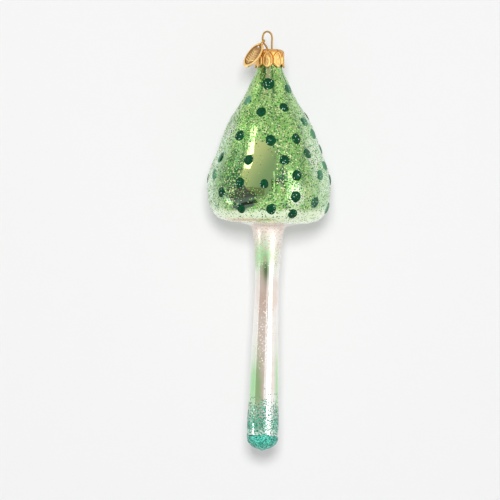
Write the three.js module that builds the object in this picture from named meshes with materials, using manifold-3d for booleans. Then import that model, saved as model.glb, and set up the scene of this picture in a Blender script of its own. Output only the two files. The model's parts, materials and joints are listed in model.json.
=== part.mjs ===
// A mouth-blown glass mushroom ornament, in millimetres, +Z up.
// The origin is the hang point, inside the top of the wire loop, and the front faces -Y.
// A turn is an angle round the ornament, from the front towards +X.
import * as THREE from 'three';
import { mergeVertices } from 'three/addons/utils/BufferGeometryUtils.js';
import Module from 'manifold-3d';

const wasm = await Module();
wasm.setup();
const radians = THREE.MathUtils.degToRad;

// Clearances between pieces
const seatGap = 0.3; // crown to glass lip, wire to its holes and to the neck's bore
const ringGap = 0.15; // jump ring to the wire leg and to the tag's hole
const coatGap = 0.2; // enamel drops and dip coat to the glass

// Wire hanger: one spring wire, a loop above the crown and two legs inside the neck
const wireDiameter = 0.8;
const loopWidth = 5.6; // over the wire
const loopHeight = 8.1; // over the wire, from the crown's top
const legSpacing = 2.6; // between the two holes in the crown
const legLength = 25; // below the crown's top
const legSpringLength = 5; // height in which the legs spring apart below the crown
const crownOffset = 1.13; // the crown's axis lies this far right of the loop's middle
const loopTurn = -33; // the loop's plane is turned this far, its left side forwards, in degrees

// Crown cap: thin stamped metal with a skirt that ends in pointed petals
const crownRadius = 6.15;
const crownShoulderRadius = 1.6;
const crownSkirtLength = 6; // from the flat top to the notches
const petalLength = 2;
const petalCount = 8;
const petalTurn = -9; // the foremost petal, in degrees
const petalBulge = 0.1; // each petal is domed by this much
const petalFlare = 0.05; // the tips stand out by this much
const sheetThickness = 0.35;

// Glass: head, stem and neck are one blown body
const glassWall = 0.9;
const neckRadius = 5.2;
const lipRounding = 0.4; // the lip's outer edge is melted round
const neckLength = 5.5; // straight part below the lip
const headRadius = 26.7;
const headHeight = 69; // from the straight neck to the flat base
const fluteCount = 9;
const fluteDepth = 0.7;
const fluteTurn = 7; // the foremost groove, in degrees
const stemLength = 97; // from the head's base to the melted-off tip
const stemTopRadius = 6.9;
const stemWaistRadius = 5.0;
const stemFootRadius = 6.7;
const leanAngle = 1.6; // the stem leans to the left by this angle
const leanLength = 35; // height above the base in which the head bends over to it
const cavityEnd = 0.95; // the hollow ends at this share of the outline, where the tip is solid

// Dip coat on the foot
const dipHeight = 6.4; // up from the tip
const dipThickness = 0.35;

// Jump ring and hang tag
const ringDiameter = 4; // over its wire
const ringWireDiameter = 0.56;
const ringSplit = 0.2; // gap between the butted ends
const ringSplitAngle = -25; // the split lies on the side of the ring, in degrees
const ringSeatHeight = 3.35; // where it sits on the left leg, above the crown's top
const ringPose = { forward: -29.6, lean: 45.2, turn: -12.3 }; // how the ring hangs, in degrees
const tagPose = { forward: -28.4, lean: 32, turn: -40 }; // how the tag leans on the crown's shoulder
const tagLength = 14;
const tagWidth = 6.9;
const tagThickness = 0.45;
const tagRimWidth = 0.7;
const tagRimHeight = 0.1; // raised on both faces
const tagHoleDiameter = 1.7;
const tagHoleEdge = 0.9; // web between the hole and the tag's end

// Enamel drops: [turn in degrees, share of the head's height above its base, diameter]
const dropRise = 0.6;
const dropShoulderReach = 0.72; // the drop's shoulder, as a share of its radius and of its rise
const dropShoulderRise = 0.75;
const frontDrops = [
  [-4, 0.871, 4.7], [59, 0.845, 3.9],
  [-51, 0.768, 3.9], [-14, 0.693, 4.1], [26, 0.722, 3.9],
  [-40, 0.546, 4.1], [1, 0.514, 4.3], [33, 0.525, 4.1], [57, 0.636, 3.7], [68, 0.559, 3.9],
  [-62, 0.409, 3.9], [-22, 0.394, 4.1], [15, 0.393, 3.9], [45, 0.436, 3.9],
  [-66, 0.303, 3.9], [-29, 0.251, 4.1], [-5, 0.245, 3.4], [26, 0.3, 4.1], [56, 0.306, 3.7], [70, 0.365, 3.7],
  [-50, 0.19, 3.9], [25, 0.171, 4.2], [49, 0.138, 3.9],
  [-29, 0.09, 3.7], [2, 0.09, 4.1], [25, 0.064, 3.9],
];
// The rows of drops round the sides and back: share of the height, and each drop's turn
const backDropDiameter = 4;
const backDropRows = [
  { height: 0.819, turns: [124, 180, 236] },
  { height: 0.674, turns: [106, 143, 181, 218, 255] },
  { height: 0.471, turns: [99, 137, 176, 215, 254] },
  { height: 0.283, turns: [98, 130, 163, 196, 229, 262] },
  { height: 0.109, turns: [82, 114, 148, 182, 216, 250] },
];

// Levels and places that follow from the sizes
const wireRadius = wireDiameter / 2;
const wireSides = 8;
const crownTopZ = wireDiameter - loopHeight;
const lipZ = crownTopZ - sheetThickness - seatGap;
const neckBoreRadius = neckRadius - glassWall;
const legX = neckBoreRadius - seatGap - wireRadius;
const crownAxis = new THREE.Vector2(
  crownOffset * Math.cos(radians(loopTurn)),
  -crownOffset * Math.sin(radians(loopTurn)),
);
const headBaseDrop = neckLength + headHeight;
const tipDrop = headBaseDrop + stemLength;

const finishes = {
  goldWire: new THREE.MeshStandardMaterial({ color: 0xa8813f, roughness: 0.3, metalness: 1 }),
  goldCap: new THREE.MeshStandardMaterial({ color: 0xf0b35c, roughness: 0.28, metalness: 1 }),
  goldTag: new THREE.MeshStandardMaterial({ color: 0xdcb26a, roughness: 0.32, metalness: 1 }),
  greenGlass: new THREE.MeshStandardMaterial({ color: 0x9cce74, roughness: 0.2, metalness: 0.5 }),
  emerald: new THREE.MeshStandardMaterial({ color: 0x0b5a38, roughness: 0.25, metalness: 0 }),
  teal: new THREE.MeshStandardMaterial({ color: 0x28ab86, roughness: 0.5, metalness: 0.1 }),
};

// A copy with shared vertices merged and the flat triangles at the poles left out.
function closedGeometry(geometry) {
  const bare = new THREE.BufferGeometry().setAttribute('position', geometry.getAttribute('position'));
  bare.setIndex(geometry.index);
  const merged = mergeVertices(bare, 1e-4);
  const corners = merged.index.array;
  const kept = [];
  for (let i = 0; i < corners.length; i += 3) {
    const [a, b, c] = corners.slice(i, i + 3);
    if (a !== b && b !== c && c !== a) kept.push(a, b, c);
  }
  merged.setIndex(kept);
  return merged;
}

function toSolid(geometry) {
  const closed = closedGeometry(geometry);
  return new wasm.Manifold(new wasm.Mesh({
    numProp: 3,
    vertProperties: closed.getAttribute('position').array,
    triVerts: new Uint32Array(closed.index.array),
  }));
}

function toGeometry(solid) {
  const mesh = solid.getMesh();
  const geometry = new THREE.BufferGeometry();
  geometry.setAttribute('position', new THREE.BufferAttribute(new Float32Array(mesh.vertProperties), 3));
  geometry.setIndex(new THREE.BufferAttribute(new Uint32Array(mesh.triVerts), 1));
  return geometry;
}

function namedMesh(name, geometry, material) {
  geometry.computeVertexNormals();
  const mesh = new THREE.Mesh(geometry, material);
  mesh.name = name;
  return mesh;
}

// A body of revolution about Z whose outline is a list of Vector2(radius, z), with turn 0 in front.
function turnedGeometry(outline, segments) {
  return closedGeometry(new THREE.LatheGeometry(outline, segments).rotateX(Math.PI / 2));
}

// Moves every vertex of a geometry by a function of its radius, turn and z.
function reshape(geometry, place) {
  const position = geometry.getAttribute('position');
  for (let i = 0; i < position.count; i += 1) {
    const x = position.getX(i);
    const y = position.getY(i);
    const moved = place(Math.hypot(x, y), Math.atan2(x, -y), position.getZ(i));
    position.setXYZ(i, moved.x, moved.y, moved.z);
  }
  return geometry;
}

// A round wire along a curve.
function wireGeometry(path, diameter, steps) {
  const section = new THREE.Shape();
  for (let i = 0; i < wireSides; i += 1) {
    const angle = (i / wireSides) * 2 * Math.PI;
    const corner = new THREE.Vector2(Math.cos(angle), Math.sin(angle)).multiplyScalar(diameter / 2);
    if (i === 0) section.moveTo(corner.x, corner.y);
    else section.lineTo(corner.x, corner.y);
  }
  const swept = new THREE.ExtrudeGeometry(section, {
    steps,
    extrudePath: path,
    bevelEnabled: false,
  });
  return closedGeometry(swept);
}

// The glass's outer outline, as Vector2(radius, drop below the lip), from the lip to the tip.
function glassOutline() {
  // Share of the way from neck to head radius, and share of the head's height
  const headShares = [
    [0.01, 0.02], [0.043, 0.055], [0.112, 0.1], [0.16, 0.13], [0.23, 0.18], [0.32, 0.23],
    [0.42, 0.28], [0.53, 0.335], [0.63, 0.39], [0.7, 0.45], [0.765, 0.51], [0.83, 0.565],
    [0.9, 0.615], [0.955, 0.665], [0.985, 0.72], [1, 0.79], [0.98, 0.85], [0.93, 0.9],
    [0.855, 0.94], [0.73, 0.972], [0.55, 0.99], [0.35, 0.997],
  ];
  const headPoints = headShares.map(([out, down]) => new THREE.Vector2(
    neckRadius + out * (headRadius - neckRadius),
    neckLength + down * headHeight,
  ));
  // Share of the stem's length, and its radius there
  const stemStations = [
    [0.008, stemTopRadius + 1.1], [0.025, stemTopRadius], [0.07, stemTopRadius * 0.88],
    [0.16, (stemTopRadius + stemWaistRadius) * 0.465], [0.27, stemWaistRadius],
    [0.42, stemWaistRadius * 1.06], [0.6, (stemWaistRadius + stemFootRadius) * 0.5],
    [0.79, stemFootRadius * 0.94], [0.86, stemFootRadius], [0.92, stemFootRadius * 0.985],
  ];
  const stemPoints = stemStations.map(([down, radius]) => new THREE.Vector2(
    radius,
    headBaseDrop + down * stemLength,
  ));
  // The foot closes in a dome with a small melted-off point
  const footTop = headBaseDrop + 0.94 * stemLength;
  const footPoints = [20, 40, 60, 75].map((angle) => new THREE.Vector2(
    stemFootRadius * 0.97 * Math.cos(radians(angle)),
    footTop + (tipDrop - footTop) * 0.93 * Math.sin(radians(angle)),
  ));
  return [
    new THREE.Vector2(neckRadius, 0),
    new THREE.Vector2(neckRadius, neckLength * 0.5),
    new THREE.Vector2(neckRadius, neckLength * 0.9),
    ...headPoints,
    ...stemPoints,
    ...footPoints,
    new THREE.Vector2(0, tipDrop),
  ];
}

const outline = new THREE.SplineCurve(glassOutline());

// A point on the glass's outline, offset outwards, by the curve's own parameter.
function outlinePoint(t, offset = 0) {
  const at = THREE.MathUtils.clamp(t, 0, 1);
  const point = outline.getPoint(at);
  const along = outline.getTangent(at);
  return new THREE.Vector2(Math.max(0, point.x + along.y * offset), point.y - along.x * offset);
}

// The curve's parameter at a drop.
function parameterAtDrop(drop) {
  let low = 0;
  let high = 1;
  for (let i = 0; i < 40; i += 1) {
    const middle = (low + high) / 2;
    if (outline.getPoint(middle).y < drop) low = middle;
    else high = middle;
  }
  return low;
}

// How deep the flutes are at a drop: none at the neck and none on the base.
function fluteDepthAt(drop) {
  const share = (drop - neckLength) / headHeight;
  return fluteDepth * THREE.MathUtils.smoothstep(share, 0.04, 0.3)
    * (1 - THREE.MathUtils.smoothstep(share, 0.8, 0.97));
}

// The glass's axis: straight through the head, bent over an arc, then straight down the stem.
function onLeaningAxis(radius, turn, drop) {
  const bendStart = headBaseDrop - leanLength;
  const lean = radians(leanAngle);
  const bendRadius = leanLength / lean;
  const down = drop - bendStart;
  const angle = THREE.MathUtils.clamp(down / bendRadius, 0, lean);
  const straight = Math.max(0, down - leanLength);
  const x = -bendRadius * (1 - Math.cos(angle)) - straight * Math.sin(angle);
  const z = bendRadius * Math.sin(angle) + straight * Math.cos(angle) + Math.min(0, down);
  const across = radius * Math.sin(turn);
  return new THREE.Vector3(
    x + across * Math.cos(angle),
    -radius * Math.cos(turn),
    -(bendStart + z) - across * Math.sin(angle),
  );
}

// A point at a radius, turn and drop, with the flutes and the lean of the glass.
function glassPoint(radius, turn, drop) {
  const ridge = Math.abs(Math.sin((fluteCount / 2) * (turn - radians(fluteTurn))));
  const fluted = radius - Math.min(radius, fluteDepthAt(drop) * (1 - ridge));
  return onLeaningAxis(fluted, turn, drop);
}

// The outline between two parameters, offset outwards, as Vector2(radius, z) going down.
function outlineRun(from, to, steps, offset) {
  const points = [];
  for (let i = 0; i <= steps; i += 1) {
    const point = outlinePoint(from + ((to - from) * i) / steps, offset);
    points.push(new THREE.Vector2(point.x, -point.y));
  }
  return points;
}

// Places a turned body that follows the glass on its fluted, leaning shape.
function ontoGlass(geometry) {
  return reshape(geometry, (radius, turn, z) => glassPoint(radius, turn, -z));
}

function glassBody() {
  const outside = outlineRun(0, 1, 44, 0);
  const inside = outlineRun(0, cavityEnd, 33, -glassWall);
  outside.at(-1).x = 0;
  outside[0].x -= lipRounding;
  outside.splice(1, 0, new THREE.Vector2(neckRadius, -lipRounding));
  inside[0].y = 0;
  inside.push(new THREE.Vector2(0, inside.at(-1).y));
  const profile = [...outside.reverse(), ...inside];
  const geometry = turnedGeometry(profile, fluteCount * 5);
  return namedMesh('glass_body', ontoGlass(geometry), finishes.greenGlass);
}

// The teal dip coat: a thin cup that follows the foot.
function footDipCoat() {
  const from = parameterAtDrop(tipDrop - dipHeight);
  const steps = 6;
  const inside = outlineRun(from, 1, steps, coatGap);
  const outside = outlineRun(from, 1, steps, coatGap + dipThickness);
  inside[steps] = new THREE.Vector2(0, -tipDrop - coatGap);
  outside[steps] = new THREE.Vector2(0, -tipDrop - coatGap - dipThickness);
  const profile = [...outside.reverse(), ...inside];
  const geometry = turnedGeometry(profile, fluteCount * 3);
  return namedMesh('foot_dip_coat', ontoGlass(geometry), finishes.teal);
}

// A raised drop of enamel whose underside follows the glass.
function enamelDrop(name, turnDegrees, heightShare, diameter) {
  const sides = 10;
  const middle = parameterAtDrop(headBaseDrop - heightShare * headHeight);
  const middleRadius = outlinePoint(middle).x;
  const step = 0.002;
  const lengthPerParameter = outlinePoint(middle - step).distanceTo(outlinePoint(middle + step)) / step / 2;
  const surfacePoint = (reach, angle, lift) => {
    const t = middle + (reach * Math.cos(angle)) / lengthPerParameter;
    const turn = radians(turnDegrees) + (reach * Math.sin(angle)) / middleRadius;
    const point = outlinePoint(t, lift);
    return glassPoint(point.x, turn, point.y);
  };
  const rings = [
    { reach: 0, lift: coatGap },
    { reach: diameter / 2, lift: coatGap },
    { reach: (diameter / 2) * dropShoulderReach, lift: coatGap + dropRise * dropShoulderRise },
    { reach: 0, lift: coatGap + dropRise },
  ];
  const vertices = [];
  const ringPoint = (ring, side) => surfacePoint(ring.reach, (side / sides) * 2 * Math.PI, ring.lift);
  for (let r = 0; r + 1 < rings.length; r += 1) {
    for (let side = 0; side < sides; side += 1) {
      const a = ringPoint(rings[r], side);
      const b = ringPoint(rings[r], (side + 1) % sides);
      const c = ringPoint(rings[r + 1], (side + 1) % sides);
      const d = ringPoint(rings[r + 1], side);
      if (rings[r].reach > 0) vertices.push(a, b, c);
      if (rings[r + 1].reach > 0) vertices.push(a, c, d);
    }
  }
  const geometry = new THREE.BufferGeometry().setFromPoints(vertices);
  return namedMesh(name, closedGeometry(geometry), finishes.emerald);
}

function enamelDrops() {
  const backDrops = backDropRows.flatMap(({ height, turns }) => (
    turns.map((turn) => [turn, height, backDropDiameter])
  ));
  return [...frontDrops, ...backDrops].map(([turn, height, diameter], i) => (
    enamelDrop(`enamel_drop_${String(i + 1).padStart(2, '0')}`, turn, height, diameter)
  ));
}

// The glass with what is painted on it, hung from its lip.
function mushroom() {
  const group = new THREE.Group();
  group.position.set(crownAxis.x, crownAxis.y, lipZ);
  group.add(glassBody(), footDipCoat(), ...enamelDrops());
  return group;
}

// The crown: a turned cap whose skirt is shortened between the petals and domed on each.
function crownCap() {
  const cornerCentre = new THREE.Vector2(crownRadius - crownShoulderRadius, -crownShoulderRadius);
  const shoulder = (radius) => [0, 30, 60, 90].map((angle) => new THREE.Vector2(
    cornerCentre.x + radius * Math.sin(radians(angle)),
    cornerCentre.y + radius * Math.cos(radians(angle)),
  ));
  const petalLevels = [0, 0.4, 0.7, 1].map((share) => -crownSkirtLength - petalLength * share);
  const wall = (radius, levels) => levels.map((z) => new THREE.Vector2(radius, z));
  const inside = [
    new THREE.Vector2(0, -sheetThickness),
    ...shoulder(crownShoulderRadius - sheetThickness),
    ...wall(crownRadius - sheetThickness, petalLevels),
  ];
  const outside = [
    new THREE.Vector2(0, 0),
    ...shoulder(crownShoulderRadius),
    ...wall(crownRadius, [-crownSkirtLength / 2, ...petalLevels]),
  ];
  const geometry = turnedGeometry([...inside, ...outside.reverse()], petalCount * 8);
  const petalShape = (r, turn, z) => {
    const phase = (petalCount / 2) * (turn - radians(petalTurn));
    const offCentre = Math.abs(Math.asin(Math.sin(phase))) / (Math.PI / 2);
    const belowShoulder = THREE.MathUtils.smoothstep(-z, 0, crownSkirtLength);
    const reach = Math.max(0.04, (1 - offCentre) ** 0.6);
    const tongue = Math.min(0, z + crownSkirtLength) * reach;
    const level = Math.max(z, -crownSkirtLength) + tongue;
    const dome = petalBulge * belowShoulder * (1 - 2 * offCentre);
    const flare = petalFlare * (tongue / petalLength) ** 2;
    const radius = r > crownRadius / 2 ? r + dome + flare : r;
    return new THREE.Vector3(radius * Math.sin(turn), -radius * Math.cos(turn), level);
  };
  const stamped = toSolid(reshape(geometry, petalShape));
  const holeRadius = wireRadius + seatGap;
  const punch = (side) => toSolid(
    new THREE.CylinderGeometry(holeRadius, holeRadius, sheetThickness * 4, 12)
      .rotateX(Math.PI / 2)
      .translate((side * legSpacing) / 2, 0, 0)
      .rotateZ(radians(-loopTurn)),
  );
  const cap = stamped.subtract(punch(-1)).subtract(punch(1));
  const mesh = namedMesh('crown_cap', toGeometry(cap), finishes.goldCap);
  mesh.position.set(crownAxis.x, crownAxis.y, crownTopZ);
  return mesh;
}

// The hanger's centre line, from one leg's tip over the loop to the other's.
function hangerPath() {
  const loopRadius = (loopWidth - wireDiameter) / 2;
  const loopCentreZ = wireRadius - loopRadius;
  const leg = (side) => [
    [crownOffset + side * legX * 0.93, crownTopZ - legLength],
    [crownOffset + side * legX, crownTopZ - legLength * 0.8],
    [crownOffset + side * legX, crownTopZ - legLength * 0.5],
    [crownOffset + side * legX, crownTopZ - legSpringLength * 1.25],
    [crownOffset + side * (legX * 0.5 + legSpacing * 0.25), crownTopZ - legSpringLength * 0.55],
    [crownOffset + (side * legSpacing) / 2, crownTopZ - sheetThickness],
    [crownOffset * 0.9 + (side * legSpacing) / 2, crownTopZ + wireDiameter],
  ];
  const loop = [180, 140, 110, 90, 70, 40, 0].map((angle) => [
    loopRadius * Math.cos(radians(angle)),
    loopCentreZ + loopRadius * Math.sin(radians(angle)),
  ]);
  const shoulderZ = loopCentreZ - loopRadius * 0.8;
  const places = [
    ...leg(-1),
    [-loopRadius * 0.93, shoulderZ],
    ...loop,
    [loopRadius * 0.97, shoulderZ],
    ...leg(1).reverse(),
  ];
  const upright = new THREE.Vector3(0, 0, 1);
  const points = places.map(([x, z]) => (
    new THREE.Vector3(x, 0, z).applyAxisAngle(upright, radians(-loopTurn))
  ));
  return new THREE.CatmullRomCurve3(points, false, 'centripetal');
}

function wireHanger() {
  const wire = wireGeometry(hangerPath(), wireDiameter, 100);
  return namedMesh('wire_hanger', wire, finishes.goldWire);
}

// The left leg's centre and its direction downwards, at a height above the crown.
function leftLegAt(height) {
  const path = hangerPath();
  let share = 0;
  while (path.getPointAt(share).z < crownTopZ + height) share += 0.001;
  return { point: path.getPointAt(share), down: path.getTangentAt(share).negate() };
}

// A split ring in its own X-Z plane, hanging down from the origin, which is its wire's centre.
class RingPath extends THREE.Curve {
  getPoint(share) {
    const radius = (ringDiameter - ringWireDiameter) / 2;
    const gapAngle = ringSplit / radius;
    const angle = radians(ringSplitAngle) + gapAngle / 2 + share * (2 * Math.PI - gapAngle);
    return new THREE.Vector3(radius * Math.cos(angle), 0, radius * Math.sin(angle) - radius);
  }
}

// The tag hangs down from its hole and faces -Y.
function hangTag() {
  const oval = (width, length) => {
    const shape = new THREE.Shape();
    shape.absellipse(0, 0, width / 2, length / 2, 0, 2 * Math.PI, false, 0);
    return shape;
  };
  const hole = (radius) => {
    const path = new THREE.Path();
    path.absarc(0, tagLength / 2 - tagHoleEdge - radius, radius, 0, 2 * Math.PI, true);
    return path;
  };
  const curveSegments = 18;
  const pressed = (shape, depth) => (
    new THREE.ExtrudeGeometry(shape, { depth, curveSegments, bevelEnabled: false })
      .translate(0, 0, -depth / 2)
  );
  const plateShape = oval(tagWidth, tagLength);
  plateShape.holes.push(hole(tagHoleDiameter / 2));
  const plate = pressed(plateShape, tagThickness);
  const rimShape = oval(tagWidth, tagLength);
  const field = oval(tagWidth - 2 * tagRimWidth, tagLength - 2 * tagRimWidth);
  rimShape.holes.push(new THREE.Path(field.getPoints(curveSegments)));
  const rim = pressed(rimShape, tagThickness + 2 * tagRimHeight);
  const struck = toGeometry(toSolid(plate).add(toSolid(rim)));
  const holeCentre = tagLength / 2 - tagHoleEdge - tagHoleDiameter / 2;
  struck.translate(0, -holeCentre, 0).rotateX(Math.PI / 2);
  return namedMesh('hang_tag', struck, finishes.goldTag);
}

// The ring hangs on the left leg, and the tag on the ring, leaning on the crown's shoulder.
function ringAndTag() {
  const leg = leftLegAt(ringSeatHeight);
  const ringRadius = (ringDiameter - ringWireDiameter) / 2;
  const turned = ({ forward, lean, turn }) => (
    new THREE.Euler(radians(forward), radians(lean), radians(turn), 'YXZ')
  );
  const ringTurn = turned(ringPose);
  const tagTurn = turned(tagPose);
  const hangDirection = new THREE.Vector3(0, 0, -1).applyEuler(ringTurn);
  const offLeg = hangDirection.clone().addScaledVector(leg.down, -hangDirection.dot(leg.down)).normalize();
  const ringTop = leg.point.clone().addScaledVector(offLeg, -(wireRadius + ringWireDiameter / 2 + ringGap));
  const ringWire = wireGeometry(new RingPath(), ringWireDiameter, 26);
  const ring = namedMesh('jump_ring', ringWire, finishes.goldWire);
  ring.rotation.set(0, 0, Math.PI / 2);
  const ringGroup = new THREE.Group();
  ringGroup.add(ring);
  ringGroup.rotation.copy(ringTurn);
  ringGroup.position.copy(ringTop);
  const ringFoot = ringTop.clone().addScaledVector(hangDirection, 2 * ringRadius);
  const tagDown = new THREE.Vector3(0, 0, -1).applyEuler(tagTurn);
  const tag = hangTag();
  tag.rotation.copy(tagTurn);
  const slack = (tagHoleDiameter - ringWireDiameter) / 2 - ringGap;
  tag.position.copy(ringFoot).addScaledVector(tagDown, slack);
  const group = new THREE.Group();
  group.add(ringGroup, tag);
  return group;
}

const ornament = new THREE.Group();
ornament.add(wireHanger(), crownCap(), ringAndTag(), mushroom());
export default ornament;
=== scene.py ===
# %% [markdown]
# # A blown-glass mushroom ornament
#
# The ornament is a hollow glass mushroom with a tall, softly fluted head and a long stem. It is
# silvered inside, lacquered and glittered outside, dotted with raised enamel, and dipped in teal at
# the foot. A stamped gold cap with a spring wire closes its neck, and a small oval tag hangs from
# the wire on a jump ring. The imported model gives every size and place: each piece here takes the
# place of one of its nodes and moves with that node's body.

# %% Tools and the frame
import json
import math

import bmesh
import bpy
import numpy as np
from mathutils import Matrix, Vector


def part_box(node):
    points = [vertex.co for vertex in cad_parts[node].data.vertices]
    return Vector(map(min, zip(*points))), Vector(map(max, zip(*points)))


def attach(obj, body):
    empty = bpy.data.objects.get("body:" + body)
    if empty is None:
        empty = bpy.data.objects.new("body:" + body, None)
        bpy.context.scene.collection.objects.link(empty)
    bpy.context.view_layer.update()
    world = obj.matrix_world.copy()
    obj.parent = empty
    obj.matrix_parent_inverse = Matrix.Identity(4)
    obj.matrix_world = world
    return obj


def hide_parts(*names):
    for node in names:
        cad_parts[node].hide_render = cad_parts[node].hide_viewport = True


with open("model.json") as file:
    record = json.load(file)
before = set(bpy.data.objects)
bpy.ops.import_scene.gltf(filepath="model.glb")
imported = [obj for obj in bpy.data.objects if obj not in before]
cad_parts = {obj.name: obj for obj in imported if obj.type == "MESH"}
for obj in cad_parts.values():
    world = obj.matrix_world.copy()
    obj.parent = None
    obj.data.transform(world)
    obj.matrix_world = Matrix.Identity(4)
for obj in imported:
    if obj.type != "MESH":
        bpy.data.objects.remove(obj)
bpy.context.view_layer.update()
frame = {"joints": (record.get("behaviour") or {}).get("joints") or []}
MM = 0.001

# %% [markdown]
# ## The camera
#
# The ornament is seen straight from the front through a long lens, so that the picture is nearly
# flat, as in a catalogue. The width of the view at the ornament fixes the lens: 500 pixels are
# 215 mm there.

# %% The camera
VIEW_WIDTH = 215 * MM
VIEW_CENTRE = Vector((-7.5, 0, -93.5)) * MM
CAMERA_DISTANCE = 1.5

camera_data = bpy.data.cameras.new("camera")
camera_data.lens = camera_data.sensor_width * CAMERA_DISTANCE / VIEW_WIDTH
camera = bpy.data.objects.new("camera", camera_data)
camera.location = VIEW_CENTRE + Vector((0, -CAMERA_DISTANCE, 0))
camera.rotation_euler = (math.radians(90), 0, 0)
bpy.context.scene.collection.objects.link(camera)
bpy.context.scene.camera = camera
bpy.context.scene.view_settings.view_transform = "Standard"
print("lens:", round(camera_data.lens), "mm")

# %% [markdown]
# ## Writing materials as expressions
#
# A material is a graph of nodes, and its arithmetic is easier to read as an expression. `Signal`
# stands for what leaves one socket, and adding or multiplying two of them adds a Math node.
# `Finish` holds one material: `node` makes any node from its type, its settings and its inputs.


# %% Signals
def operator(operation):
    """A Math node as an operator and its reflected form, for mask + 1 and for 1 + mask."""
    return (
        lambda self, other: self.math(operation, self, other),
        lambda self, other: self.math(operation, other, self),
    )


class Signal:
    """What leaves a node's socket. Arithmetic on it adds Math nodes."""

    def __init__(self, finish, socket):
        self.finish = finish
        self.socket = socket

    def math(self, operation, *operands, clamp=False):
        inputs = dict(enumerate(operands))
        return self.finish.node("ShaderNodeMath", inputs, operation=operation, use_clamp=clamp)

    __add__, __radd__ = operator("ADD")
    __sub__, __rsub__ = operator("SUBTRACT")
    __mul__, __rmul__ = operator("MULTIPLY")
    __truediv__, __rtruediv__ = operator("DIVIDE")
    __pow__, __rpow__ = operator("POWER")

    def of(self, operation):
        """A function of this signal alone, such as its sine."""
        return self.math(operation, self)

    def clamped(self):
        return self.math("ADD", self, 0.0, clamp=True)

    def above(self, low, high):
        """0 below low, 1 above high, smooth between."""
        inputs = {"Value": self, "From Min": low, "From Max": high}
        return self.finish.node("ShaderNodeMapRange", inputs, interpolation_type="SMOOTHSTEP")

    def bell(self, centre, width):
        """1 at the centre, falling to 0.37 at a width from it."""
        offset = (self - centre) / width
        return math.e ** (offset * offset * -1.0)


# %% Finishes
def find_socket(sockets, key):
    """A socket by its number or its name. A Mix node has more than one of a name."""
    if isinstance(key, int):
        return sockets[key]
    return next(socket for socket in sockets if socket.name == key and socket.enabled)


class Finish:
    """One material's nodes, ending in a Principled surface."""

    def __init__(self, name, **fixed):
        self.material = bpy.data.materials.new(name)
        self.material.use_nodes = True
        self.tree = self.material.node_tree
        self.surface = self.tree.nodes["Principled BSDF"]
        self.set(**fixed)

    def node(self, kind, inputs=None, output=0, stops=None, **settings):
        node = self.tree.nodes.new(kind)
        for name, value in settings.items():
            setattr(node, name, value)
        if stops:
            ramp = node.color_ramp.elements
            while len(ramp) < len(stops):
                ramp.new(0.5)
            for element, (position, colour) in zip(ramp, stops):
                element.position = position
                element.color = colour
        for key, value in (inputs or {}).items():
            self.feed(node, key, value)
        return Signal(self, find_socket(node.outputs, output))

    def feed(self, node, key, value):
        socket = find_socket(node.inputs, key)
        if isinstance(value, Signal):
            self.tree.links.new(value.socket, socket)
        else:
            socket.default_value = value

    def set(self, **inputs):
        for name, value in inputs.items():
            self.feed(self.surface, name.replace("_", " "), value)

    def place(self):
        """The point on the object in millimetres."""
        at = self.node("ShaderNodeTexCoord", output="Object")
        return self.node("ShaderNodeVectorMath", {0: at, "Scale": 1 / MM}, operation="SCALE")

    def parts(self, kind, source):
        """All outputs of a node that takes a vector or a colour apart."""
        node = self.node(kind, {0: source}).socket.node
        return [Signal(self, socket) for socket in node.outputs]

    def noise(self, at, size, detail=2.0, seed=0.0):
        """Soft blotches of about this size, from 0 to 1."""
        inputs = {"Vector": at, "W": seed, "Scale": 1 / size, "Detail": detail}
        return self.node("ShaderNodeTexNoise", inputs, noise_dimensions="4D")

    def cells(self, at, size):
        """Cells of this size: two random numbers in each, and the distance from its middle."""
        inputs = {"Vector": at, "Scale": 1 / size}
        distance = self.node("ShaderNodeTexVoronoi", inputs, output="Distance")
        tone = Signal(self, distance.socket.node.outputs["Color"])
        red, green, _ = self.parts("ShaderNodeSeparateColor", tone)
        return red, green, distance

    def mix(self, share, first, second):
        inputs = {"Factor": share, "A": first, "B": second}
        return self.node("ShaderNodeMix", inputs, output="Result", data_type="RGBA")

    def layers(self, ground, *coats):
        """A ground with colours laid over it in turn, each where its mask is 1."""
        for mask, tone in coats:
            ground = self.mix(mask, ground, tone)
        return ground

    def attribute(self, name):
        return self.node("ShaderNodeAttribute", output="Fac", attribute_name=name)

    def bump(self, height, strength, distance):
        inputs = {"Height": height, "Strength": strength, "Distance": distance}
        return self.node("ShaderNodeBump", inputs)


def colour(red, green, blue):
    """A colour as a screen shows it, 0 to 255, made linear for the shader."""
    return tuple((channel / 255) ** 2.2 for channel in (red, green, blue)) + (1.0,)


# %% [markdown]
# ## Gold fittings
#
# The cap, the tag, the ring and the wire are plated metal, so each is fully metallic, and what
# makes them look real is uneven: the colour carries a painted highlight on the ridges and painted
# shade, darker and more orange, in the hollows, and fine scratches make it rougher in streaks. Each
# embossed piece carries an attribute called `relief`, from 0 in a hollow to 1 on a ridge, which
# this painted light and shade follows.


# %% Plated metal
def plated(name, high, low, grain=1.2):
    """Plated metal, with a painted highlight on its ridges and painted shade in its hollows."""
    finish = Finish(name, Metallic=1.0)
    at = finish.place()
    relief = finish.attribute("relief")
    blotch = finish.noise(at, grain)
    share = (relief + (blotch - 0.5) * 0.5).clamped()
    finish.set(
        Base_Color=finish.mix(share, low, high),
        Roughness=0.24 + finish.noise(at, 0.5) * 0.16,
        Normal=finish.bump(finish.noise(at, 0.35, detail=3), 0.12, 0.0002),
    )
    return finish


cap_gold = plated("cap_gold", colour(255, 219, 146), colour(190, 116, 30))
tag_gold = plated("tag_gold", colour(255, 214, 146), colour(116, 66, 20))
ring_gold = plated("ring_gold", colour(232, 186, 100), colour(150, 96, 34))
wire_gold = plated("wire_gold", colour(205, 165, 95), colour(120, 85, 40), grain=4.0)
golds = (cap_gold, tag_gold, ring_gold, wire_gold)
print("plated finishes:", [gold.material.name for gold in golds])

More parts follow.
